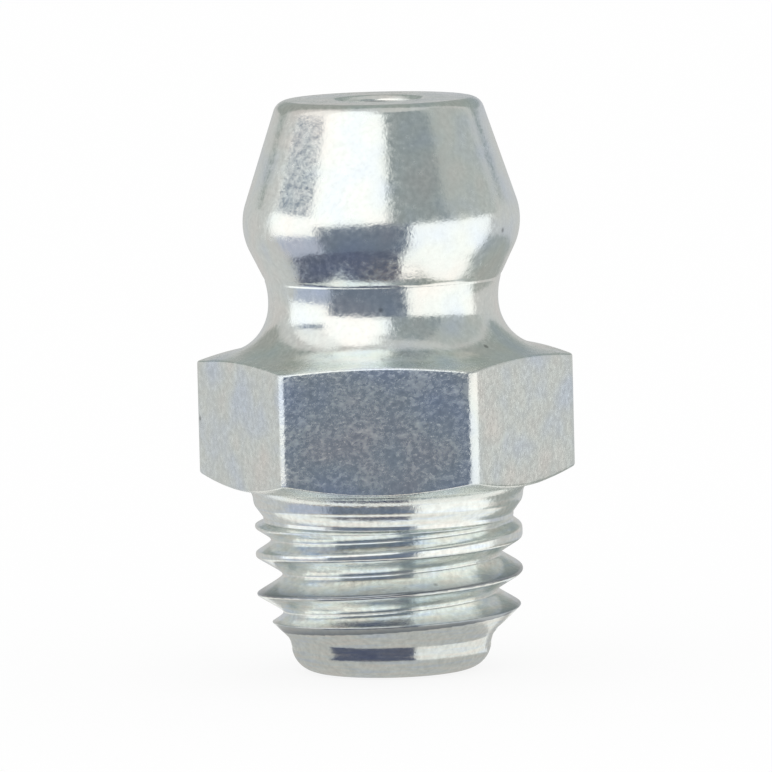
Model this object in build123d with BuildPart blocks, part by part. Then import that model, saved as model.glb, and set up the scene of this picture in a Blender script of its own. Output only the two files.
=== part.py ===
"""Straight ball-check grease nipple with a hexagon and a short 1/4-28 threaded shank.

Millimetres, +Z up. The origin is the centre of the end face of the threaded shank, on the nipple's
axis. Two faces of the hexagon look along -Y and +Y. The pieces are the body, formed and turned from
hexagon stock, the ball that closes its inlet, and the spring that holds the ball up.
"""
from build123d import *
from math import atan, cos, degrees, radians, sin, sqrt, tan
import os

# Threaded shank, from its end face up to the underside of the hexagon
shank_length = 4.47
thread_diameter = 6.30
thread_pitch = 0.907
thread_flank_angle = 30.0
thread_angle = -16.0
end_inset = 0.18
end_edge_radius = 0.62
end_taper_length = 0.20
lead_in_inset = 0.12
lead_in_angle = 46.0
blank_inset = 0.19
run_out_length = 1.15
run_out_pitch = 0.816
crest_fade_angle = 66.0
undercut_width = 0.10

# Plain collar between the thread and the hexagon
collar_step = 0.02
collar_edge_length = 0.29
collar_length = 0.11
collar_taper = 10.0
collar_fillet_radius = 0.37

# Hexagon
hex_across_flats = 7.77
hex_edge_radius = 0.18
hex_height = 2.92
hex_top_angle = 13.0
hex_bottom_angle = 23.0
washer_face_width = 0.195

# Neck and head that the coupler grips
head_diameter = 6.54
neck_inset = 0.555
neck_land_length = 0.05
neck_fillet_radius = 1.20
neck_flare_radius = 1.75
neck_flare_angle = 18.0
head_underside_angle = 26.0
head_round_radius = 1.50
head_cone_angle = 18.3
nose_length = 2.885
nose_edge_radius = 0.35

# Ball, the conical bearing that it closes, and the inlet above it
ball_diameter = 2.381
ball_depth = 0.06
ball_bearing_gap = 0.015
ball_side_clearance = 0.21
bearing_half_angle = 30.0
bearing_width_above_ball = 0.17
inlet_chamfer = 0.10

# Spring, and the rolled lip that keeps it in
wire_diameter = 0.30
spring_side_clearance = 0.16
spring_end_gap = 0.015
wire_sides = 8
spring_active_turns = 6
spring_closed_turns = 1
closed_turn_gap = 0.02
lip_thickness = 0.55
lip_hold = 0.17
lip_corner = 0.15
outlet_chamfer = 0.18

# Room that cutting outlines and hidden joints take beyond the finished surfaces
cut_margin = 0.90
joint_sink = 0.30
groove_overrun_turns = 1.35

# Thread form: sixty degrees between the flanks, with narrow flats at the crest and the root
crest_flat = thread_pitch / 10
root_flat = thread_pitch / 8
thread_depth = (thread_pitch - crest_flat - root_flat) / 2 / tan(radians(thread_flank_angle))
thread_radius = thread_diameter / 2
root_radius = thread_radius - thread_depth
blank_radius = thread_radius - blank_inset
end_radius = root_radius - end_inset
lead_in_radius = root_radius - lead_in_inset

# Heights along the shank
undercut_top = shank_length - collar_fillet_radius - collar_length - collar_edge_length
undercut_bottom = undercut_top - undercut_width
run_out_bottom = undercut_bottom - run_out_length
run_out_angle = degrees(atan((blank_radius - root_radius) / run_out_length))
lead_in_bottom = end_edge_radius + end_taper_length

# Collar and hexagon
collar_radius = thread_radius + collar_step
collar_foot_radius = collar_radius + collar_length * tan(radians(collar_taper))
collar_edge_slope = collar_edge_length / (collar_radius - blank_radius)
collar_root_radius = blank_radius - joint_sink
collar_root = undercut_top - joint_sink * collar_edge_slope
washer_face_radius = collar_foot_radius + collar_fillet_radius + washer_face_width
hex_side = hex_across_flats * tan(radians(30))
hex_corner_radius = hex_side - hex_edge_radius * (1 / cos(radians(30)) - 1)
hex_corner_top = shank_length + hex_height
stock_radius = hex_corner_radius + cut_margin
stock_bottom = shank_length + (stock_radius - washer_face_radius) * tan(radians(hex_bottom_angle))
stock_top = hex_corner_top - cut_margin * tan(radians(hex_top_angle))

# Neck: a fillet turns up out of the hexagon's top cone, and a flare meets the head's conical underside
head_radius = head_diameter / 2
neck_radius = head_radius - neck_inset
fillet_foot_radius = neck_radius + neck_fillet_radius * (1 - sin(radians(hex_top_angle)))
fillet_foot = hex_corner_top + (hex_corner_radius - fillet_foot_radius) * tan(radians(hex_top_angle))
neck_bottom = fillet_foot + neck_fillet_radius * cos(radians(hex_top_angle))
neck_top = neck_bottom + neck_land_length
flare_rise = neck_flare_radius * sin(radians(neck_flare_angle))
flare_reach = neck_flare_radius * (1 - cos(radians(neck_flare_angle)))
underside_turn = head_round_radius * (1 - cos(radians(head_underside_angle)))
underside_length = (neck_inset - flare_reach - underside_turn) / sin(radians(head_underside_angle))
underside_rise = underside_length * cos(radians(head_underside_angle))
underside_top = neck_top + flare_rise + underside_rise
head_middle = underside_top + head_round_radius * sin(radians(head_underside_angle))
overall_length = head_middle + nose_length
cone_bottom = head_middle + head_round_radius * sin(radians(head_cone_angle))
cone_top = overall_length - nose_edge_radius * (1 - sin(radians(head_cone_angle)))
cone_length = (cone_top - cone_bottom) / cos(radians(head_cone_angle))

# Ball at rest on its bearing, and the cone that the bearing is cut to
ball_radius = ball_diameter / 2
ball_height = overall_length - ball_depth - ball_radius
bearing_reach = ball_radius + ball_bearing_gap
bearing_radius = bearing_reach * cos(radians(bearing_half_angle))
bearing_height = ball_height + bearing_reach * sin(radians(bearing_half_angle))
bore_radius = ball_radius + ball_side_clearance
bore_top = bearing_height - (bore_radius - bearing_radius) / tan(radians(bearing_half_angle))
inlet_radius = bearing_radius - bearing_width_above_ball * sin(radians(bearing_half_angle))
inlet_bottom = bearing_height + bearing_width_above_ball * cos(radians(bearing_half_angle))

# Spring between the lip and the ball
wire_radius = wire_diameter / 2
spring_radius = bore_radius - spring_side_clearance - wire_radius
outlet_radius = spring_radius - lip_hold
spring_bottom = lip_thickness + wire_radius + spring_end_gap
spring_top_reach = ball_radius + wire_radius + spring_end_gap
spring_top = ball_height - sqrt(spring_top_reach**2 - spring_radius**2)
closed_height = spring_closed_turns * (wire_diameter + closed_turn_gap)
active_height = spring_top - spring_bottom - 2 * closed_height


def thread_groove(bottom, length, pitch, widening):
    """The thread's groove as a solid: it starts on the +X side and climbs as a right-hand helix."""
    spread = crest_flat / 4
    rim_radius = thread_radius + spread / tan(radians(thread_flank_angle))
    rim_half_width = (thread_pitch - crest_flat) / 2 + spread
    with BuildPart() as groove:
        with BuildLine():
            Helix(pitch, length, root_radius, center=(0, 0, bottom), cone_angle=widening)
        with BuildSketch(Plane.XZ):
            with BuildLine():
                Polyline(
                    (root_radius, bottom - root_flat / 2),
                    (root_radius, bottom + root_flat / 2),
                    (rim_radius, bottom + rim_half_width),
                    (rim_radius + thread_depth, bottom + rim_half_width),
                    (rim_radius + thread_depth, bottom - rim_half_width),
                    (rim_radius, bottom - rim_half_width),
                    close=True,
                )
            make_face()
        sweep(is_frenet=True)
    return groove.part


# The groove runs in from below the end face, then climbs out of the shank on a wider, closer helix
groove_turns = int(run_out_bottom / thread_pitch) + groove_overrun_turns
groove_length = groove_turns * thread_pitch
run_out_start_angle = thread_angle + 360 * run_out_bottom / thread_pitch
full_groove = thread_groove(run_out_bottom - groove_length, groove_length, thread_pitch, 0)
run_out_groove = thread_groove(run_out_bottom, run_out_length, run_out_pitch, run_out_angle)

# Threaded shank: grooved while it is a plain rod, then its end and its undercut are turned
with BuildPart() as shank:
    rod_base = (Align.CENTER, Align.CENTER, Align.MIN)
    Cylinder(thread_radius, shank_length, rotation=(0, 0, 90), align=rod_base)
    groove_start_angle = run_out_start_angle - 360 * groove_turns
    add(full_groove, rotation=(0, 0, groove_start_angle), mode=Mode.SUBTRACT)
    add(run_out_groove, rotation=(0, 0, run_out_start_angle), mode=Mode.SUBTRACT)

    with BuildSketch(Plane.YZ):
        with BuildLine():
            end_edge = RadiusArc(
                (end_radius - end_edge_radius, 0), (end_radius, end_edge_radius), -end_edge_radius
            )
            lead_in_rise = (stock_radius - lead_in_radius) / tan(radians(lead_in_angle))
            Polyline(
                end_edge @ 1,
                (lead_in_radius, lead_in_bottom),
                (stock_radius, lead_in_bottom + lead_in_rise),
                (stock_radius, -cut_margin),
                (end_radius - end_edge_radius, -cut_margin),
                end_edge @ 0,
            )
        make_face()
    revolve(mode=Mode.SUBTRACT)

    with BuildSketch(Plane.YZ):
        with BuildLine():
            crest_fade = (stock_radius - blank_radius) / tan(radians(crest_fade_angle))
            Polyline(
                (blank_radius, undercut_bottom),
                (blank_radius, shank_length + cut_margin),
                (stock_radius, shank_length + cut_margin),
                (stock_radius, undercut_bottom - crest_fade),
                close=True,
            )
        make_face()
    revolve(mode=Mode.SUBTRACT)

# Body: hexagon stock turned to the outline of collar, neck and head, then joined to the shank and bored
with BuildPart() as body:
    with BuildSketch():
        RegularPolygon(hex_across_flats / 2, 6, major_radius=False)
        fillet(vertices(), hex_edge_radius)
    extrude(amount=overall_length)

    with BuildSketch(Plane.YZ):
        with BuildLine():
            collar = Polyline(
                (0, collar_root),
                (collar_root_radius, collar_root),
                (collar_radius, undercut_top + collar_edge_length),
                (collar_foot_radius, shank_length - collar_fillet_radius),
            )
            collar_fillet = JernArc(collar @ 1, (0, 1), collar_fillet_radius, -90)
            stock = Polyline(
                collar_fillet @ 1,
                (washer_face_radius, shank_length),
                (stock_radius, stock_bottom),
                (stock_radius, stock_top),
                (fillet_foot_radius, fillet_foot),
            )
            neck_fillet = RadiusArc(stock @ 1, (neck_radius, neck_bottom), neck_fillet_radius)
            neck = Line(neck_fillet @ 1, (neck_radius, neck_top))
            flare = JernArc(neck @ 1, (0, 1), neck_flare_radius, -neck_flare_angle)
            underside = Line(flare @ 1, (head_radius - underside_turn, underside_top))
            head_turn = head_underside_angle + head_cone_angle
            head_round = JernArc(underside @ 1, underside % 1, head_round_radius, head_turn)
            cone = PolarLine(head_round @ 1, cone_length, direction=head_round % 1)
            nose_edge = JernArc(cone @ 1, cone % 1, nose_edge_radius, 90 - head_cone_angle)
            Polyline(nose_edge @ 1, (0, overall_length), collar @ 0)
        make_face()
    revolve(mode=Mode.INTERSECT)
    add(shank.part)

    with BuildSketch(Plane.YZ):
        with BuildLine():
            Polyline(
                (inlet_radius + inlet_chamfer, overall_length),
                (inlet_radius, overall_length - inlet_chamfer),
                (inlet_radius, inlet_bottom),
                (bore_radius, bore_top),
                (bore_radius, lip_thickness + lip_corner),
                (bore_radius - lip_corner, lip_thickness),
                (outlet_radius, lip_thickness),
                (outlet_radius, outlet_chamfer),
                (outlet_radius + outlet_chamfer, 0),
                (outlet_radius + outlet_chamfer, -cut_margin),
                (0, -cut_margin),
                (0, overall_length + cut_margin),
                (inlet_radius + inlet_chamfer, overall_length + cut_margin),
                close=True,
            )
        make_face()
    revolve(mode=Mode.SUBTRACT)

# Ball at rest, a hair below its bearing
with BuildPart() as check_ball:
    with Locations((0, 0, ball_height)):
        Sphere(ball_radius)

# Spring: closed turns at both ends and open turns between them, from the lip up to the ball.
# Its round wire is drawn with flat sides, which keeps the coil's surfaces few.
spring_runs = [
    (spring_bottom, closed_height, spring_closed_turns),
    (spring_bottom + closed_height, active_height, spring_active_turns),
    (spring_top - closed_height, closed_height, spring_closed_turns),
]

with BuildPart() as spring:
    for foot, height, turns in spring_runs:
        with BuildLine():
            Helix(height / turns, height, spring_radius, center=(0, 0, foot))
        with BuildSketch(Plane.XZ):
            with Locations((spring_radius, foot)):
                RegularPolygon(wire_radius, wire_sides, False, rotation=180 / wire_sides)
        sweep(is_frenet=True)

body.part.label = "body"
check_ball.part.label = "check_ball"
spring.part.label = "spring"

os.makedirs("parts", exist_ok=True)
export_step(body.part, "parts/body.step")
export_step(check_ball.part, "parts/check_ball.step")
export_step(spring.part, "parts/spring.step")
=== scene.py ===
import bpy
import numpy as np
from math import cos, degrees, pi, radians, sin, sqrt, tan
from mathutils import Matrix, Vector


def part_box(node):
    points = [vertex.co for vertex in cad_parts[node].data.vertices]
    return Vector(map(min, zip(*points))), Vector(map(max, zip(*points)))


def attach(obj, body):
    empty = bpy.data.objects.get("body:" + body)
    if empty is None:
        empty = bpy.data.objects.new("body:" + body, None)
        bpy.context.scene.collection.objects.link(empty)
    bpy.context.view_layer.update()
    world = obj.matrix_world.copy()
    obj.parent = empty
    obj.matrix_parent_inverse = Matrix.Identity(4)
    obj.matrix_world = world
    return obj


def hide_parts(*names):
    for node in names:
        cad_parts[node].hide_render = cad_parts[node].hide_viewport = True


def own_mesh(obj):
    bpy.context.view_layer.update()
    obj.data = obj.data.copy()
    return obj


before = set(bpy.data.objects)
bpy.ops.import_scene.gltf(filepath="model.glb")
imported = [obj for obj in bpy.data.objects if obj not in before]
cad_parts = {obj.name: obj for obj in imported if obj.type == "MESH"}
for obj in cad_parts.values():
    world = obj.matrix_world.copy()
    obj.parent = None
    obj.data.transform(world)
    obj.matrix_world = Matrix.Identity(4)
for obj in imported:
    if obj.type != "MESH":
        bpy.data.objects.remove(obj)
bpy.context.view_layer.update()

from types import SimpleNamespace

# A grease nipple in bright zinc plate. Sizes are the CAD part's, in millimetres from its end face up,
# and the meshes are made in metres.
MM = 0.001
LOW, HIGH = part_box("body")
OVERALL_LENGTH = (HIGH.z - LOW.z) / MM
HALF_FLATS = (HIGH.y - LOW.y) / 2 / MM

# Threaded shank
SHANK_LENGTH = 4.47
THREAD_RADIUS = 3.15
THREAD_PITCH = 0.907
THREAD_DEPTH = 0.609
THREAD_ANGLE = radians(-16.0)
THREAD_TURNS = range(-2, 7)
FLANK_ANGLE = radians(30)
BLANK_RADIUS = THREAD_RADIUS - 0.19
ROOT_RADIUS = THREAD_RADIUS - THREAD_DEPTH
END_RADIUS = ROOT_RADIUS - 0.18
END_EDGE_RADIUS = 0.62
LEAD_IN_RADIUS = ROOT_RADIUS - 0.12
LEAD_IN_BOTTOM = 0.82
LEAD_IN_ANGLE = radians(46)
UNDERCUT_BOTTOM = 3.60
UNDERCUT_TOP = 3.70
RUN_OUT_BOTTOM = 2.45
RUN_OUT_PITCH = 0.816
CREST_FADE_ANGLE = radians(66)

# Small roundings that the shank has in the scene only
ROOT_ROUND = 0.065
CREST_RADIUS = THREAD_RADIUS + 0.02
CREST_ROUND = 0.055
EDGE_ROUND = 0.025
LEAD_IN_ROUND = 0.03
LEAD_IN_ROUND_FROM = 0.02
OUTLET_EDGE_ROUND = 0.04

# Where painted shade darkens the flanks just above the crests, and where the crests are browned, partly
# the plate's own tint and partly painted shade
CREST_LINE_DEPTH = 0.03
FLANK_SHADE_HEIGHT = 0.30
FULL_THREAD_TOP = RUN_OUT_BOTTOM + 0.3
RUN_OUT_FADE = 0.5
LEAD_IN_FADE = 0.2

# Collar and hexagon
COLLAR_RADIUS = THREAD_RADIUS + 0.02
COLLAR_EDGE_LENGTH = 0.29
COLLAR_LENGTH = 0.11
COLLAR_FOOT_RADIUS = COLLAR_RADIUS + COLLAR_LENGTH * tan(radians(10))
COLLAR_FILLET_RADIUS = 0.37
COLLAR_EDGE_ROUND = 0.06
WASHER_FACE_RADIUS = COLLAR_FOOT_RADIUS + COLLAR_FILLET_RADIUS + 0.195
WASHER_EDGE_ROUND = 0.04
HEX_EDGE_RADIUS = 0.18
HEX_TOP_ANGLE = radians(13)
HEX_BOTTOM_ANGLE = radians(23)
HEX_CORNER_RADIUS = (HALF_FLATS - HEX_EDGE_RADIUS) / cos(radians(30)) + HEX_EDGE_RADIUS
HEX_CORNER_TOP = SHANK_LENGTH + 2.92
HEX_ROUND = 0.05
HEX_EDGE_SOFTNESS = 0.34

# Neck and head
HEAD_RADIUS = 3.27
NECK_RADIUS = HEAD_RADIUS - 0.555
NECK_FILLET_RADIUS = 1.20
NECK_LAND_LENGTH = 0.05
NECK_FLARE_RADIUS = 1.75
NECK_FLARE_ANGLE = radians(18)
HEAD_UNDERSIDE_ANGLE = radians(26)
HEAD_ROUND_RADIUS = 1.50
HEAD_CONE_ANGLE = radians(18.3)
NOSE_LENGTH = 2.885
NOSE_EDGE_RADIUS = 0.35
TURNED_LINE_DEPTH = 0.007
TURNED_LINE_WIDTH = 0.12

# Where one form of the neck and head meets the next
NECK_FOOT_RADIUS = NECK_RADIUS + NECK_FILLET_RADIUS * (1 - sin(HEX_TOP_ANGLE))
NECK_FOOT = HEX_CORNER_TOP + (HEX_CORNER_RADIUS - NECK_FOOT_RADIUS) * tan(HEX_TOP_ANGLE)
NECK_BOTTOM = NECK_FOOT + NECK_FILLET_RADIUS * cos(HEX_TOP_ANGLE)
NECK_TOP = NECK_BOTTOM + NECK_LAND_LENGTH
FLARE_RADIUS = NECK_RADIUS + NECK_FLARE_RADIUS * (1 - cos(NECK_FLARE_ANGLE))
FLARE_TOP = NECK_TOP + NECK_FLARE_RADIUS * sin(NECK_FLARE_ANGLE)
UNDERSIDE_RADIUS = HEAD_RADIUS - HEAD_ROUND_RADIUS * (1 - cos(HEAD_UNDERSIDE_ANGLE))
UNDERSIDE_TOP = FLARE_TOP + (UNDERSIDE_RADIUS - FLARE_RADIUS) / tan(HEAD_UNDERSIDE_ANGLE)
HEAD_MIDDLE = UNDERSIDE_TOP + HEAD_ROUND_RADIUS * sin(HEAD_UNDERSIDE_ANGLE)

# Ball, the conical bearing that it closes, bore and rolled lip
GAP = 0.015
BALL_RADIUS = 2.381 / 2
BALL_HEIGHT = OVERALL_LENGTH - 0.06 - BALL_RADIUS
BEARING_ANGLE = radians(30)
BEARING_WIDTH = 0.17
BEARING_RADIUS = (BALL_RADIUS + GAP) * cos(BEARING_ANGLE)
BEARING_HEIGHT = BALL_HEIGHT + (BALL_RADIUS + GAP) * sin(BEARING_ANGLE)
INLET_RADIUS = BEARING_RADIUS - BEARING_WIDTH * sin(BEARING_ANGLE)
INLET_BOTTOM = BEARING_HEIGHT + BEARING_WIDTH * cos(BEARING_ANGLE)
INLET_CHAMFER = 0.10
INLET_EDGE_ROUND = 0.03
BORE_RADIUS = BALL_RADIUS + 0.21
BORE_TOP = BEARING_HEIGHT - (BORE_RADIUS - BEARING_RADIUS) / tan(BEARING_ANGLE)
BORE_EDGE_HOLD = 0.02
LIP_THICKNESS = 0.55
LIP_CORNER = 0.15
LIP_CHAMFER = 0.03
OUTLET_CHAMFER = 0.18

# Spring: a closed turn at each end and six open turns
WIRE_RADIUS = 0.15
SPRING_RADIUS = BORE_RADIUS - 0.16 - WIRE_RADIUS
SPRING_TURNS = (1, 6, 1)
CLOSED_TURN_HEIGHT = 0.32
OUTLET_RADIUS = SPRING_RADIUS - 0.17

# How finely the meshes are cut
SHANK_ROWS = 190
EDGE_COLUMNS = 13
FACE_COLUMNS = 28
EDGE_HALF_ANGLE = radians(2.6)
BALL_SEGMENTS = 96
WIRE_SIDES = 20
WIRE_STEPS_PER_TURN = 48
WIRE_SMOOTHING = 9
CARD_ROWS = 9
CARD_COLUMNS = 13
FOOT_RING_COLUMNS = 49

# Plate, ball and wire: heights where the finish changes, and colours
THREAD_FINISH_TOP = (3.9, 4.6)
HEX_FINISH_TOP = (7.3, 7.6)
ZINC_TINTS = (
    (0.30, (0.81, 0.88, 0.95, 1)),
    (0.50, (0.89, 0.93, 0.89, 1)),
    (0.70, (0.95, 0.92, 0.86, 1)),
)
# Painted shade on the thread's flanks just above the crests
FLANK_SHADE_COLOUR = (0.20, 0.23, 0.27, 1)
# Brown on the crests: partly the plate's own tint, partly painted shade
CREST_TINT_AND_SHADE = (0.30, 0.24, 0.18, 1)
BALL_COLOUR = (0.42, 0.42, 0.43, 1)
WIRE_COLOUR = (0.50, 0.50, 0.51, 1)

# Studio: the surroundings as the eye, the floor and the shiny plate see them
WHITE = (1, 1, 1, 1)
FLOOR_COLOUR = (0.97, 0.97, 0.97, 1)
FLOOR_HALF_WIDTH = 3000
FLOOR_DEPTH = 0.01
FLOOR_GLOW = 0.85
WORLD_LEVEL = 1.0
MIRRORED_WORLD_LEVEL = 0.58
CARD_DISTANCE = 160
FOOT_RING_DEPTH = 0.02

# Camera, from the photo's outline
CAMERA_DISTANCE = 254
CAMERA_ELEVATION = radians(5.7)
CAMERA_AZIMUTH = radians(2.7)
CAMERA_ROLL = radians(1.4)
PIXELS_PER_MM = 42.36
AIM_HEIGHT = 6.70
AIM_PIXEL = (385.3, 386.7)
IMAGE_PIXELS = 772
SENSOR_WIDTH = 36


# The body's outline is a list of rows from its bottom up and back down the bore. A row is a radius and
# a height, each a number or an array with one value to a column of the mesh.


def even_steps(count, start, end):
    """Evenly spaced numbers, both ends included."""
    return [start + (end - start) * i / (count - 1) for i in range(count)]


def line(start, end, shares):
    """Rows at the given shares of the way from one point of the outline to another."""
    return [tuple(a + (b - a) * share for a, b in zip(start, end)) for share in shares]


def arc(centre, radius, turns):
    """Rows on an arc about a centre, at angles counted from straight outward to straight up."""
    return [(centre[0] + radius * cos(turn), centre[1] + radius * sin(turn)) for turn in turns]


def corner(before, at, after, size, count=5):
    """Rows of a small rounding that starts and ends the given size away from a corner."""
    sides = np.array(np.broadcast_arrays(*before, *at, *after), float)
    start, middle, end = sides[:2], sides[2:4], sides[4:]
    first = middle + (start - middle) / np.linalg.norm(start - middle, axis=0) * size
    last = middle + (end - middle) / np.linalg.norm(end - middle, axis=0) * size
    return [
        tuple((1 - t) ** 2 * first + 2 * t * (1 - t) * middle + t**2 * last)
        for t in even_steps(count, 0, 1)
    ]


def soft_min(a, b, width):
    """The smaller of two radii, with the edge between them rounded over about the given width."""
    return (a + b - np.sqrt((a - b) ** 2 + width**2)) / 2


def soft_max(a, b, width):
    """The larger of two radii, with the corner between them rounded."""
    return -soft_min(-a, -b, width)


def end_radius(height):
    """Radius of the rolled end and of the cone that leads in to the thread, rounded where they meet."""
    taper = (LEAD_IN_RADIUS - END_RADIUS) / (LEAD_IN_BOTTOM - END_EDGE_RADIUS)
    end = END_RADIUS + (height - END_EDGE_RADIUS) * taper
    lead_in = LEAD_IN_RADIUS + (height - LEAD_IN_BOTTOM) * tan(LEAD_IN_ANGLE)
    above_edge = (height - END_EDGE_RADIUS) / (LEAD_IN_BOTTOM - END_EDGE_RADIUS)
    return soft_max(end, lead_in, LEAD_IN_ROUND * np.clip(above_edge, LEAD_IN_ROUND_FROM, 1))


def shank_radius(angle, height):
    """Radius of the threaded shank: crests, rounded roots, run-out, fading crests and lead-in."""
    helix_height = (angle - THREAD_ANGLE) / (2 * pi) * THREAD_PITCH
    radius = np.full_like(angle, CREST_RADIUS)
    slope = (BLANK_RADIUS - ROOT_RADIUS) / (UNDERCUT_BOTTOM - RUN_OUT_BOTTOM)
    for turn in THREAD_TURNS:
        above = np.maximum(helix_height + turn * THREAD_PITCH - RUN_OUT_BOTTOM, 0)
        shortening = above * (1 - RUN_OUT_PITCH / THREAD_PITCH)
        root_height = helix_height + turn * THREAD_PITCH - shortening
        climb = np.maximum(root_height - RUN_OUT_BOTTOM, 0) * slope
        away = np.sqrt((height - root_height) ** 2 + ROOT_ROUND**2) - ROOT_ROUND
        groove = ROOT_RADIUS + climb + away / tan(FLANK_ANGLE)
        groove = np.where(root_height > UNDERCUT_BOTTOM, 2 * THREAD_RADIUS, groove)
        radius = soft_min(radius, groove, CREST_ROUND)
    radius = soft_min(radius, end_radius(height), EDGE_ROUND)
    fading_crest = BLANK_RADIUS + max(UNDERCUT_BOTTOM - height, 0) * tan(CREST_FADE_ANGLE)
    return soft_min(radius, fading_crest, EDGE_ROUND)


def hexagon_radius(angle):
    """Distance from the axis to the hexagon's side, with its upright edges rounded."""
    from_corner = np.mod(angle + radians(30), radians(60)) - radians(30)
    from_face = radians(30) - np.abs(from_corner)
    flat = HALF_FLATS / np.cos(from_face)
    centre = (HALF_FLATS - HEX_EDGE_SOFTNESS) / cos(radians(30))
    inside = np.clip(HEX_EDGE_SOFTNESS**2 - (centre * np.sin(from_corner)) ** 2, 0, None)
    rounded = centre * np.cos(from_corner) + np.sqrt(inside)
    flat_half_width = (HALF_FLATS - HEX_EDGE_SOFTNESS) * tan(radians(30))
    return np.where(HALF_FLATS * np.tan(from_face) > flat_half_width, rounded, flat)


def shank_rows(angle):
    """Rows from the outlet's chamfer, over the rolled end and the thread, to the undercut's top."""
    chamfer_top = (OUTLET_RADIUS, OUTLET_CHAMFER)
    chamfer_foot = (OUTLET_RADIUS + OUTLET_CHAMFER, 0)
    end_centre = (END_RADIUS - END_EDGE_RADIUS, END_EDGE_RADIUS)
    end_face_edge = (end_centre[0], 0)
    rows = corner((OUTLET_RADIUS, LIP_THICKNESS), chamfer_top, chamfer_foot, OUTLET_EDGE_ROUND, 4)
    rows += corner(chamfer_top, chamfer_foot, end_face_edge, OUTLET_EDGE_ROUND, 4)
    rows += arc(end_centre, END_EDGE_RADIUS, even_steps(14, -pi / 2, 0))
    for height in even_steps(SHANK_ROWS, END_EDGE_RADIUS, UNDERCUT_TOP)[1:]:
        rows.append((shank_radius(angle, height), height))
    return rows


def collar_rows():
    """Rows over the collar's lower edge and the fillet that joins it to the hexagon."""
    undercut = (BLANK_RADIUS, UNDERCUT_TOP)
    edge = (COLLAR_RADIUS, UNDERCUT_TOP + COLLAR_EDGE_LENGTH)
    foot = (COLLAR_FOOT_RADIUS, SHANK_LENGTH - COLLAR_FILLET_RADIUS)
    fillet_centre = (COLLAR_FOOT_RADIUS + COLLAR_FILLET_RADIUS, foot[1])
    rows = corner(undercut, edge, foot, COLLAR_EDGE_ROUND)
    return rows + arc(fillet_centre, COLLAR_FILLET_RADIUS, even_steps(8, pi, pi / 2))


def hexagon_rows(angle):
    """Rows over the washer face and the hexagon with its two bevels."""
    side = hexagon_radius(angle)
    washer_foot = (COLLAR_FOOT_RADIUS, SHANK_LENGTH)
    washer_edge = (WASHER_FACE_RADIUS, SHANK_LENGTH)
    bottom = (side, SHANK_LENGTH + (side - WASHER_FACE_RADIUS) * tan(HEX_BOTTOM_ANGLE))
    top = (side, HEX_CORNER_TOP + (HEX_CORNER_RADIUS - side) * tan(HEX_TOP_ANGLE))
    neck_foot = (NECK_FOOT_RADIUS, NECK_FOOT)
    rows = corner(washer_foot, washer_edge, bottom, WASHER_EDGE_ROUND, 4)
    rows += corner(washer_edge, bottom, top, HEX_ROUND)
    rows += line(bottom, top, even_steps(8, 0.08, 0.92))
    rows += corner(bottom, top, neck_foot, HEX_ROUND)
    return rows + line(top, neck_foot, even_steps(7, 0.25, 0.85))


def neck_rows():
    """Rows over the neck's fillet and flare, and the fine turned line above them."""
    fillet_centre = (NECK_RADIUS + NECK_FILLET_RADIUS, NECK_BOTTOM)
    flare_centre = (NECK_RADIUS + NECK_FLARE_RADIUS, NECK_TOP)
    half_line = TURNED_LINE_WIDTH / 2
    line_turn = half_line / NECK_FLARE_RADIUS
    rows = arc(fillet_centre, NECK_FILLET_RADIUS, even_steps(16, 3 * pi / 2 - HEX_TOP_ANGLE, pi))
    rows += arc(flare_centre, NECK_FLARE_RADIUS, even_steps(12, pi, pi - NECK_FLARE_ANGLE + line_turn))
    for share in even_steps(9, -1, 1)[1:-1]:
        surface = FLARE_RADIUS + share * half_line * tan(HEAD_UNDERSIDE_ANGLE)
        depth = TURNED_LINE_DEPTH * (1 - share**2)
        rows.append((surface - depth, FLARE_TOP + share * half_line))
    return rows


def head_rows():
    """Rows over the head's underside, its widest curve, the cone, the nose and the top face."""
    top = HEAD_MIDDLE + NOSE_LENGTH
    flare, underside = (FLARE_RADIUS, FLARE_TOP), (UNDERSIDE_RADIUS, UNDERSIDE_TOP)
    head_centre = (HEAD_RADIUS - HEAD_ROUND_RADIUS, HEAD_MIDDLE)
    rows = line(flare, underside, even_steps(6, 0.1, 0.95))
    rows += arc(head_centre, HEAD_ROUND_RADIUS, even_steps(20, -HEAD_UNDERSIDE_ANGLE, HEAD_CONE_ANGLE))
    cone_bottom = rows[-1]
    cone_height = top - NOSE_EDGE_RADIUS * (1 - sin(HEAD_CONE_ANGLE)) - cone_bottom[1]
    cone_top = (cone_bottom[0] - cone_height * tan(HEAD_CONE_ANGLE), cone_bottom[1] + cone_height)
    rows += line(cone_bottom, cone_top, even_steps(12, 0, 1)[1:])
    nose_centre = (cone_top[0] - NOSE_EDGE_RADIUS * cos(HEAD_CONE_ANGLE), top - NOSE_EDGE_RADIUS)
    rows += arc(nose_centre, NOSE_EDGE_RADIUS, even_steps(10, HEAD_CONE_ANGLE, pi / 2)[1:])
    face_edge, inlet_edge = (nose_centre[0], top), (INLET_RADIUS + INLET_CHAMFER, top)
    return rows + line(face_edge, inlet_edge, even_steps(5, 0.1, 0.9))


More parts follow.
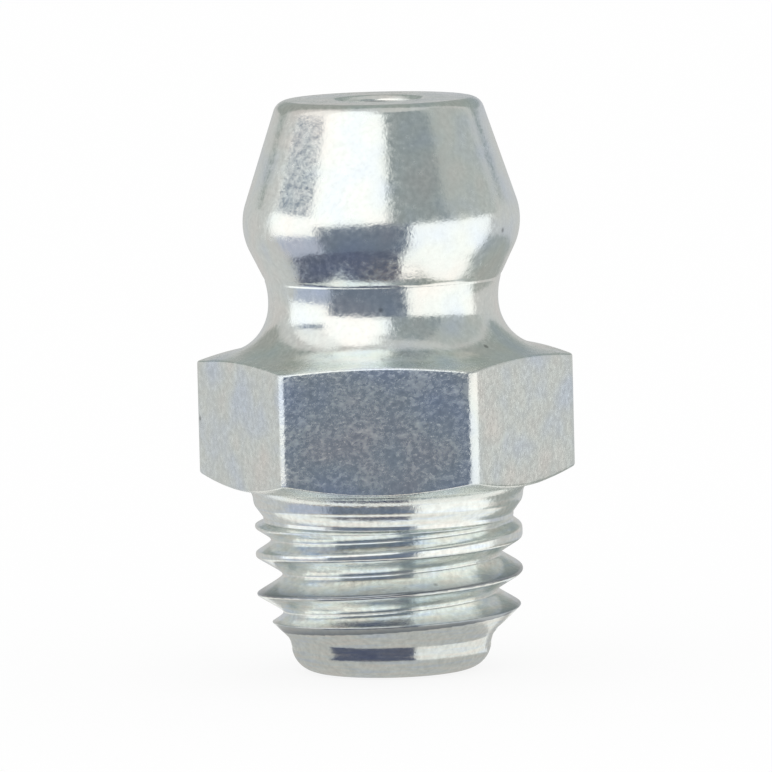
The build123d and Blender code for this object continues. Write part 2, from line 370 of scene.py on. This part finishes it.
def bore_rows():
    """Rows down the inlet, the ball's conical bearing, the bore and the lip, back to the outlet."""
    on_face = (INLET_RADIUS + 2 * INLET_CHAMFER, OVERALL_LENGTH)
    chamfer_top = (INLET_RADIUS + INLET_CHAMFER, OVERALL_LENGTH)
    chamfer_foot = (INLET_RADIUS, OVERALL_LENGTH - INLET_CHAMFER)
    inlet_bottom = (INLET_RADIUS, INLET_BOTTOM)
    rows = corner(on_face, chamfer_top, chamfer_foot, INLET_EDGE_ROUND)
    rows += corner(chamfer_top, chamfer_foot, inlet_bottom, INLET_EDGE_ROUND)
    return rows + [
        (INLET_RADIUS, INLET_BOTTOM + BORE_EDGE_HOLD),
        inlet_bottom,
        (BEARING_RADIUS, BEARING_HEIGHT),
        (BORE_RADIUS - BORE_EDGE_HOLD, BORE_TOP + BORE_EDGE_HOLD / tan(BEARING_ANGLE)),
        (BORE_RADIUS, BORE_TOP),
        (BORE_RADIUS, BORE_TOP - 5 * BORE_EDGE_HOLD),
        (BORE_RADIUS, SHANK_LENGTH),
        (BORE_RADIUS, LIP_THICKNESS + LIP_CORNER),
        (BORE_RADIUS - LIP_CORNER, LIP_THICKNESS),
        (OUTLET_RADIUS + LIP_CHAMFER, LIP_THICKNESS),
        (OUTLET_RADIUS, LIP_THICKNESS - LIP_CHAMFER),
    ]


def column_angles():
    """Angles of the body's columns: close together at the hexagon's edges, wider across its faces."""
    edge = even_steps(EDGE_COLUMNS, -EDGE_HALF_ANGLE, EDGE_HALF_ANGLE)
    face = even_steps(FACE_COLUMNS, EDGE_HALF_ANGLE, radians(60) - EDGE_HALF_ANGLE)[1:-1]
    return np.array([radians(60) * side + turn for side in range(6) for turn in edge + face])


def grid_mesh(name, points, closed_rows=False, closed_columns=False, end_faces=()):
    """A mesh over a grid of points in millimetres. A closed side joins its last points to its first."""
    rows, columns = points.shape[:2]
    faces = []
    for row in range(rows if closed_rows else rows - 1):
        for column in range(columns if closed_columns else columns - 1):
            next_row, next_column = (row + 1) % rows, (column + 1) % columns
            corners = (row, column), (row, next_column), (next_row, next_column), (next_row, column)
            faces.append([r * columns + c for r, c in corners])
    mesh = bpy.data.meshes.new(name)
    mesh.from_pydata((points.reshape(-1, 3) * MM).tolist(), [], faces + list(end_faces))
    mesh.update()
    return mesh


def add_object(name, mesh, material):
    """Puts a mesh in the scene as an object of one material."""
    piece = bpy.data.objects.new(name, mesh)
    bpy.context.scene.collection.objects.link(piece)
    mesh.materials.append(material)
    return piece


def full_thread(height):
    """One along the full thread, fading to nothing at the lead-in and at the run-out."""
    below_run_out = np.clip((FULL_THREAD_TOP - height) / RUN_OUT_FADE, 0, 1)
    above_lead_in = np.clip((height - LEAD_IN_BOTTOM) / LEAD_IN_FADE, 0, 1)
    return below_run_out * above_lead_in


def crest_brown_tint_and_shade(radii, heights):
    """How much brown is mixed in, partly the plate's own tint and partly painted shade: strongest on the
    thread's crests, gone a little below them.
    """
    below_crest = radii[heights < UNDERCUT_BOTTOM].max() - radii
    return np.clip(1 - below_crest / CREST_LINE_DEPTH, 0, 1) ** 2 * full_thread(heights)


def flank_painted_shade(angle, heights):
    """How much painted shade the flank gets: strongest just above each crest, fading up the flank and to
    the run-out.
    """
    turns = (heights - (angle - THREAD_ANGLE) / (2 * pi) * THREAD_PITCH) / THREAD_PITCH
    above_crest = np.mod(turns + 0.5, 1) * THREAD_PITCH
    return np.clip(1 - above_crest / FLANK_SHADE_HEIGHT, 0, 1) * full_thread(heights)


def make_body(material):
    """The plated body, with the crests' brown and the flanks' painted shade stored on the mesh."""
    angle = column_angles()
    rows = shank_rows(angle) + collar_rows() + hexagon_rows(angle)
    rows += neck_rows() + head_rows() + bore_rows()
    radii = np.array([np.broadcast_to(radius, angle.shape) for radius, height in rows])
    heights = np.array([np.broadcast_to(height, angle.shape) for radius, height in rows])
    points = np.stack([radii * np.cos(angle), radii * np.sin(angle), heights], -1)
    mesh = grid_mesh("nipple_body", points, closed_rows=True, closed_columns=True)
    mesh.shade_smooth()
    for name, value in (
        ("crest", crest_brown_tint_and_shade(radii, heights)),
        ("flank_shade", flank_painted_shade(angle, heights)),
    ):
        mesh.attributes.new(name, "FLOAT", "POINT").data.foreach_set("value", value.ravel())
    body = add_object("nipple_body", mesh, material)
    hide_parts("body")
    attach(body, "nipple")


def make_ball(material):
    """The check ball, up against its bearing."""
    bpy.ops.mesh.primitive_uv_sphere_add(
        segments=BALL_SEGMENTS,
        ring_count=BALL_SEGMENTS // 2,
        radius=BALL_RADIUS * MM,
        location=(0, 0, BALL_HEIGHT * MM),
    )
    ball = bpy.context.object
    ball.name = "polished_ball"
    ball.data.shade_smooth()
    ball.data.materials.append(material)
    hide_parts("check_ball")
    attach(ball, "check_ball")


def spring_path():
    """Points along the wire: a closed turn at each end and the open turns between them."""
    bottom = LIP_THICKNESS + WIRE_RADIUS + GAP
    top = BALL_HEIGHT - sqrt((BALL_RADIUS + WIRE_RADIUS + GAP) ** 2 - SPRING_RADIUS**2)
    open_height = top - bottom - 2 * CLOSED_TURN_HEIGHT
    heights, turns = [bottom], [0]
    for count, rise in zip(SPRING_TURNS, (CLOSED_TURN_HEIGHT, open_height, CLOSED_TURN_HEIGHT)):
        steps = count * WIRE_STEPS_PER_TURN
        start_height, start_turn = heights[-1], turns[-1]
        for step in range(1, steps + 1):
            heights.append(start_height + rise * step / steps)
            turns.append(start_turn + count * step / steps)
    angle = np.array(turns) * 2 * pi
    padded = np.pad(heights, WIRE_SMOOTHING, mode="reflect", reflect_type="odd")
    window = 2 * WIRE_SMOOTHING + 1
    smooth = np.convolve(padded, np.ones(window) / window, "valid")
    return np.stack([SPRING_RADIUS * np.cos(angle), SPRING_RADIUS * np.sin(angle), smooth], -1)


def unit(vectors):
    """Vectors of length one in the same directions."""
    return vectors / np.linalg.norm(vectors, axis=-1, keepdims=True)


def wire_points(path):
    """A ring of points round each point of the wire's path."""
    along = unit(np.gradient(path, axis=0))
    outward = unit(path * [1, 1, 0])
    outward = unit(outward - along * (outward * along).sum(1, keepdims=True))
    upward = np.cross(along, outward)
    turn = np.linspace(0, 2 * pi, WIRE_SIDES, endpoint=False)[:, None]
    ring = outward[:, None] * np.cos(turn) + upward[:, None] * np.sin(turn)
    return path[:, None] + WIRE_RADIUS * ring


def make_spring(material):
    """The spring, from its foot on the lip up to under the ball."""
    path = spring_path()
    points = wire_points(path)
    last_ring = (len(path) - 1) * WIRE_SIDES
    end_faces = list(range(WIRE_SIDES)), list(reversed(range(last_ring, last_ring + WIRE_SIDES)))
    mesh = grid_mesh("wire_spring", points, closed_columns=True, end_faces=end_faces)
    mesh.shade_smooth()
    spring = add_object("wire_spring", mesh, material)
    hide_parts("spring")
    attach(spring, "nipple")
    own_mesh(spring)


def new_material(name):
    """A material with its node tree and its shader."""
    material = bpy.data.materials.new(name)
    material.use_nodes = True
    return material, material.node_tree, material.node_tree.nodes["Principled BSDF"]


def set_inputs(tree, node, inputs):
    """Sets a node's inputs: one given as a socket is linked, and any other is a constant."""
    for name, value in inputs.items():
        if isinstance(value, bpy.types.NodeSocket):
            tree.links.new(value, node.inputs[name])
        else:
            node.inputs[name].default_value = value


def new_node(tree, kind, inputs=None):
    """Adds a shader node of a kind, such as TexNoise, and sets its inputs."""
    node = tree.nodes.new("ShaderNode" + kind)
    set_inputs(tree, node, inputs or {})
    return node


def place(tree, stretch=(1, 1, 1)):
    """The object's own coordinates in millimetres, times a stretch along each axis."""
    own = new_node(tree, "TexCoord").outputs["Object"]
    mapping = new_node(tree, "Mapping", {"Vector": own, "Scale": [share / MM for share in stretch]})
    return mapping.outputs["Vector"]


def noise(tree, scale, detail, stretch=(1, 1, 1)):
    """Soft noise, with a scale in features to a millimetre."""
    inputs = {"Vector": place(tree, stretch), "Scale": scale, "Detail": detail}
    return new_node(tree, "TexNoise", inputs).outputs["Fac"]


def spread(tree, value, span, low, high):
    """Maps a value's span to the range from low to high, which may be sockets themselves."""
    inputs = {"Value": value, "From Min": span[0], "From Max": span[1], "To Min": low, "To Max": high}
    return new_node(tree, "MapRange", inputs).outputs["Result"]


def blend(tree, share, off, on):
    """Goes from one value to another as a share goes from nothing to one."""
    return spread(tree, share, (0, 1), off, on)


def scaled(tree, colour, share):
    """A colour made darker or lighter."""
    node = new_node(tree, "VectorMath")
    node.operation = "SCALE"
    set_inputs(tree, node, {0: colour, "Scale": share})
    return node.outputs["Vector"]


def darkened_by_attribute(tree, colour, attribute_name, darker_colour, strength):
    """Mixes a darker colour in where the mesh's own value says so, for the painted shade on the flanks
    and the brown on the crests.
    """
    attribute = new_node(tree, "Attribute")
    attribute.attribute_name = attribute_name
    share = blend(tree, attribute.outputs["Fac"], 0, strength)
    mix = new_node(tree, "Mix")
    mix.data_type = "RGBA"
    # A Mix node's colours are its inputs 6 and 7 and its output 2, since their names are used twice
    set_inputs(tree, mix, {0: share, 6: colour, 7: darker_colour})
    return mix.outputs[2]


def tinted(tree, value, stops):
    """A colour that a value picks from a row of stops, each a position and a colour."""
    ramp = new_node(tree, "ValToRGB", {"Fac": value})
    elements = ramp.color_ramp.elements
    elements.remove(elements[1])
    elements[0].position, elements[0].color = stops[0]
    for position, colour in stops[1:]:
        elements.new(position).color = colour
    return ramp.outputs["Color"]


def zinc_patterns(tree):
    """The patterns and regions that the plate's colour, gloss and relief share."""
    height = new_node(tree, "SeparateXYZ", {"Vector": place(tree)}).outputs["Z"]
    return SimpleNamespace(
        off_thread=spread(tree, height, THREAD_FINISH_TOP, 0, 1),
        on_hexagon=spread(tree, height, HEX_FINISH_TOP, 1, 0),
        grain=noise(tree, 8.0, 2.5),
        spark=noise(tree, 15.0, 2),
        blotch=noise(tree, 1.6, 4),
        rolled=noise(tree, 1.0, 3, (1, 1, 12)),
    )


def zinc_colour(tree, pattern):
    """A cold to warm tint, mottled, with painted shade in small pits, and on the thread painted shade on
    the flanks and brown crests that are partly tint and partly painted shade.
    """
    tint = tinted(tree, blend(tree, pattern.off_thread, pattern.rolled, noise(tree, 0.7, 2)), ZINC_TINTS)
    darkest = blend(tree, pattern.on_hexagon, 0.92, 0.86)
    mottled = scaled(tree, tint, spread(tree, pattern.grain, (0.25, 0.75), darkest, 1.07))
    # Small dark spots: painted shade in tiny pits
    pit_shade_cells = new_node(tree, "TexVoronoi", {"Vector": place(tree), "Scale": 0.6})
    pit_shaded = scaled(tree, mottled, spread(tree, pit_shade_cells.outputs["Distance"], (0.02, 0.05), 0.5, 1))
    # Painted shade on the flank just above each crest
    flank_shaded = darkened_by_attribute(tree, pit_shaded, "flank_shade", FLANK_SHADE_COLOUR, 0.85)
    # Brown on the crests, partly the plate's own tint and partly painted shade
    return darkened_by_attribute(tree, flank_shaded, "crest", CREST_TINT_AND_SHADE, 0.8)


def zinc_roughness(tree, pattern):
    """Even gloss on the shank, mottled gloss on the head and a duller hexagon."""
    duller_grain = blend(tree, pattern.on_hexagon, 0.28, 0.38)
    duller_cloud = blend(tree, pattern.on_hexagon, 0.04, 0.09)
    total = new_node(tree, "Math", {
        0: spread(tree, pattern.grain, (0.25, 0.75), 0.09, duller_grain),
        1: spread(tree, pattern.blotch, (0.3, 0.7), -0.03, duller_cloud),
    })
    total.operation = "ADD"
    on_shank = spread(tree, pattern.rolled, (0.3, 0.7), 0.14, 0.24)
    return blend(tree, pattern.off_thread, on_shank, total.outputs["Value"])


def zinc_relief(tree, pattern):
    """Fine grain over broad, shallow waves; the grain is strongest on the hexagon."""
    above_thread = blend(tree, pattern.on_hexagon, 0.18, 0.6)
    fine = new_node(tree, "Bump", {
        "Strength": blend(tree, pattern.off_thread, 0.15, above_thread),
        "Distance": 0.014 * MM,
        "Height": pattern.spark,
    })
    broad = new_node(tree, "Bump", {
        "Strength": 0.30,
        "Distance": 0.03 * MM,
        "Height": pattern.blotch,
        "Normal": fine.outputs["Normal"],
    })
    return broad.outputs["Normal"]


def zinc_material():
    """Bright zinc plate."""
    material, tree, shader = new_material("zinc_plate")
    pattern = zinc_patterns(tree)
    set_inputs(tree, shader, {
        "Metallic": 1.0,
        "Base Color": zinc_colour(tree, pattern),
        "Roughness": zinc_roughness(tree, pattern),
        "Normal": zinc_relief(tree, pattern),
    })
    return material


def steel_material(name, colour, roughness, mark_scale):
    """Bare steel with fine marks, for the ball and the spring's wire."""
    material, tree, shader = new_material(name)
    marks = noise(tree, mark_scale, 4)
    set_inputs(tree, shader, {
        "Metallic": 1.0,
        "Base Color": colour,
        "Roughness": blend(tree, marks, roughness * 0.6, roughness * 1.5),
    })
    return material


def emission_material(name, colour, strength):
    """A plain glow, for what the plate mirrors."""
    material, tree, shader = new_material(name)
    tree.nodes.remove(shader)
    glow = new_node(tree, "Emission", {"Color": (*colour, 1), "Strength": strength})
    set_inputs(tree, tree.nodes["Material Output"], {"Surface": glow.outputs["Emission"]})
    return material


def floor_material():
    """A pale matt floor that the camera sees nearly white, with the object's shadow on it."""
    material, tree, shader = new_material("white_floor")
    set_inputs(tree, shader, {"Base Color": FLOOR_COLOUR, "Roughness": 0.9, "Specular IOR Level": 0.0})
    glow = new_node(tree, "Emission")
    seen = new_node(tree, "LightPath").outputs["Is Camera Ray"]
    share = blend(tree, seen, 0, FLOOR_GLOW)
    mix = new_node(tree, "MixShader", {0: share, 1: shader.outputs["BSDF"], 2: glow.outputs["Emission"]})
    set_inputs(tree, tree.nodes["Material Output"], {"Surface": mix.outputs["Shader"]})
    return material


def make_floor():
    """A wide floor just under the part, which reflections don't see."""
    ends = (-FLOOR_HALF_WIDTH, FLOOR_HALF_WIDTH)
    points = np.array([[(x, y, -FLOOR_DEPTH) for x in ends] for y in ends])
    floor = add_object("floor", grid_mesh("floor", points), floor_material())
    floor.visible_glossy = False


def make_world():
    """An even white world, which the plate mirrors darker than it lights."""
    world = bpy.data.worlds.new("studio")
    bpy.context.scene.world = world
    world.use_nodes = True
    tree = world.node_tree
    mirrored = new_node(tree, "LightPath").outputs["Is Glossy Ray"]
    level = blend(tree, mirrored, WORLD_LEVEL, MIRRORED_WORLD_LEVEL)
    set_inputs(tree, tree.nodes["Background"], {"Color": WHITE, "Strength": level})


def direction(azimuth, elevation):
    """Directions by degrees to the right of the camera and degrees up from level."""
    turn, rise = np.broadcast_arrays(CAMERA_AZIMUTH + np.radians(azimuth), np.radians(elevation))
    return np.stack([np.sin(turn) * np.cos(rise), -np.cos(turn) * np.cos(rise), np.sin(rise)], -1)


def add_mirrored(name, points, colour, strength=1.0):
    """A glowing surface over a grid of points, seen only in reflections."""
    card = add_object(name, grid_mesh(name, points), emission_material(name, colour, strength))
    card.visible_camera = False
    card.visible_diffuse = False
    card.visible_shadow = False


def add_card(name, azimuths, elevations, colour, strength=1.0, distance=CARD_DISTANCE):
    """A curved studio card round the part. A pair in place of an elevation slants that edge."""
    across = np.linspace(*azimuths, CARD_COLUMNS)
    low, high = (np.linspace(*np.broadcast_to(edge, 2), CARD_COLUMNS) for edge in elevations)
    outward = direction(across, np.linspace(low, high, CARD_ROWS))
    add_mirrored(name, [0, 0, AIM_HEIGHT] + distance * outward, colour, strength)


def add_foot_ring(name, radii, azimuths, colour):
    """A flat piece of a ring just under the part's end."""
    outward = direction(np.linspace(*azimuths, FOOT_RING_COLUMNS), 0)
    points = np.array([radius * outward for radius in radii]) - [0, 0, FOOT_RING_DEPTH]
    add_mirrored(name, points, colour)


def make_cards():
    """White cards give the plate its lights, and dark and grey ones the tones between them."""
    white = (1, 1, 1)
    add_card("dark_front", (-56, 24), (-38, (4, 13)), (0.17, 0.20, 0.26))
    add_card("blue_left", (-100, -56), (-60, -10), (0.46, 0.50, 0.62))
    add_card("dark_low", (-112, 22), (-90, -38), (0.12, 0.135, 0.19), distance=CARD_DISTANCE - 2)
    add_card("white_left", (-106, -56), (-10, 19), white, 1.12)
    add_card("white_behind_slope", (-56, 0), (4, 13), white, 1.12, distance=CARD_DISTANCE + 4)
    add_card("white_right", (24, 102), (-80, 9), (1, 1, 0.99), 1.1)
    add_card("white_top_left", (-64, 7), (13, 48), white, 1.12)
    add_card("white_top", (-64, -6), (48, 72), white, 1.1)
    add_card("blue_top_left", (-102, -64), (19, (23, 29)), (0.27, 0.31, 0.38))
    add_card("white_high_left", (-102, -64), ((23, 29), 66), white, 0.9)
    add_card("grey_top_right", (7, 60), (9, 60), (0.30, 0.33, 0.345), distance=CARD_DISTANCE - 2)
    add_card("grey_right", (60, 115), (9, 60), (0.45, 0.47, 0.465))
    add_card("grey_low_right", (102, 180), (-62, -14), (0.38, 0.40, 0.39))
    add_card("grey_behind", (125, 235), (12, 75), (0.33, 0.36, 0.35))


def make_foot_rings():
    """What the shank's end and the lower flanks mirror close by: the floor round the foot, with the
    part's shadow painted into the inner, front and back rings.
    """
    # Painted shadow of the part on the floor, as the plate mirrors it
    add_foot_ring("foot_shadow_inner", (0.0, 3.0), (-180, 180), (0.48, 0.48, 0.47))
    add_foot_ring("foot_shadow_front", (3.0, 4.9), (-50, 18), (0.09, 0.10, 0.15))
    add_foot_ring("foot_pale", (3.0, 4.9), (18, 110), (0.84, 0.84, 0.82))
    add_foot_ring("foot_shadow_behind", (3.0, 4.9), (110, 310), (0.48, 0.48, 0.47))
    add_foot_ring("foot_white", (4.9, 7.5), (-180, 180), (0.95, 0.95, 0.93))
    add_foot_ring("foot_brown", (7.5, 8.3), (-64, 24), (0.34, 0.25, 0.16))


def make_camera():
    """A perspective camera that puts the point at AIM_HEIGHT on the axis at AIM_PIXEL."""
    data = bpy.data.cameras.new("camera")
    data.sensor_width = SENSOR_WIDTH
    data.lens = PIXELS_PER_MM * CAMERA_DISTANCE * SENSOR_WIDTH / IMAGE_PIXELS
    data.clip_start = 0.01
    data.clip_end = 10
    camera = bpy.data.objects.new("camera", data)
    bpy.context.scene.collection.objects.link(camera)
    back = Vector(direction(0, degrees(CAMERA_ELEVATION)))
    right = Vector((cos(CAMERA_AZIMUTH), sin(CAMERA_AZIMUTH), 0))
    up = back.cross(right)
    rolled_right = right * cos(CAMERA_ROLL) - up * sin(CAMERA_ROLL)
    rolled_up = right * sin(CAMERA_ROLL) + up * cos(CAMERA_ROLL)
    aside = (AIM_PIXEL[0] - IMAGE_PIXELS / 2) / PIXELS_PER_MM
    above = (IMAGE_PIXELS / 2 - AIM_PIXEL[1]) / PIXELS_PER_MM
    aim = Vector((0, 0, AIM_HEIGHT)) - rolled_right * aside - rolled_up * above
    axes = Matrix((rolled_right, rolled_up, back)).transposed()
    camera.matrix_world = Matrix.Translation((aim + back * CAMERA_DISTANCE) * MM) @ axes.to_4x4()
    bpy.context.scene.camera = camera


make_body(zinc_material())
make_ball(steel_material("ball_polish", BALL_COLOUR, 0.38, 3.0))
make_spring(steel_material("spring_wire_finish", WIRE_COLOUR, 0.30, 6.0))
make_floor()
make_world()
make_cards()
make_foot_rings()
make_camera()
bpy.context.scene.view_settings.view_transform = "Standard"
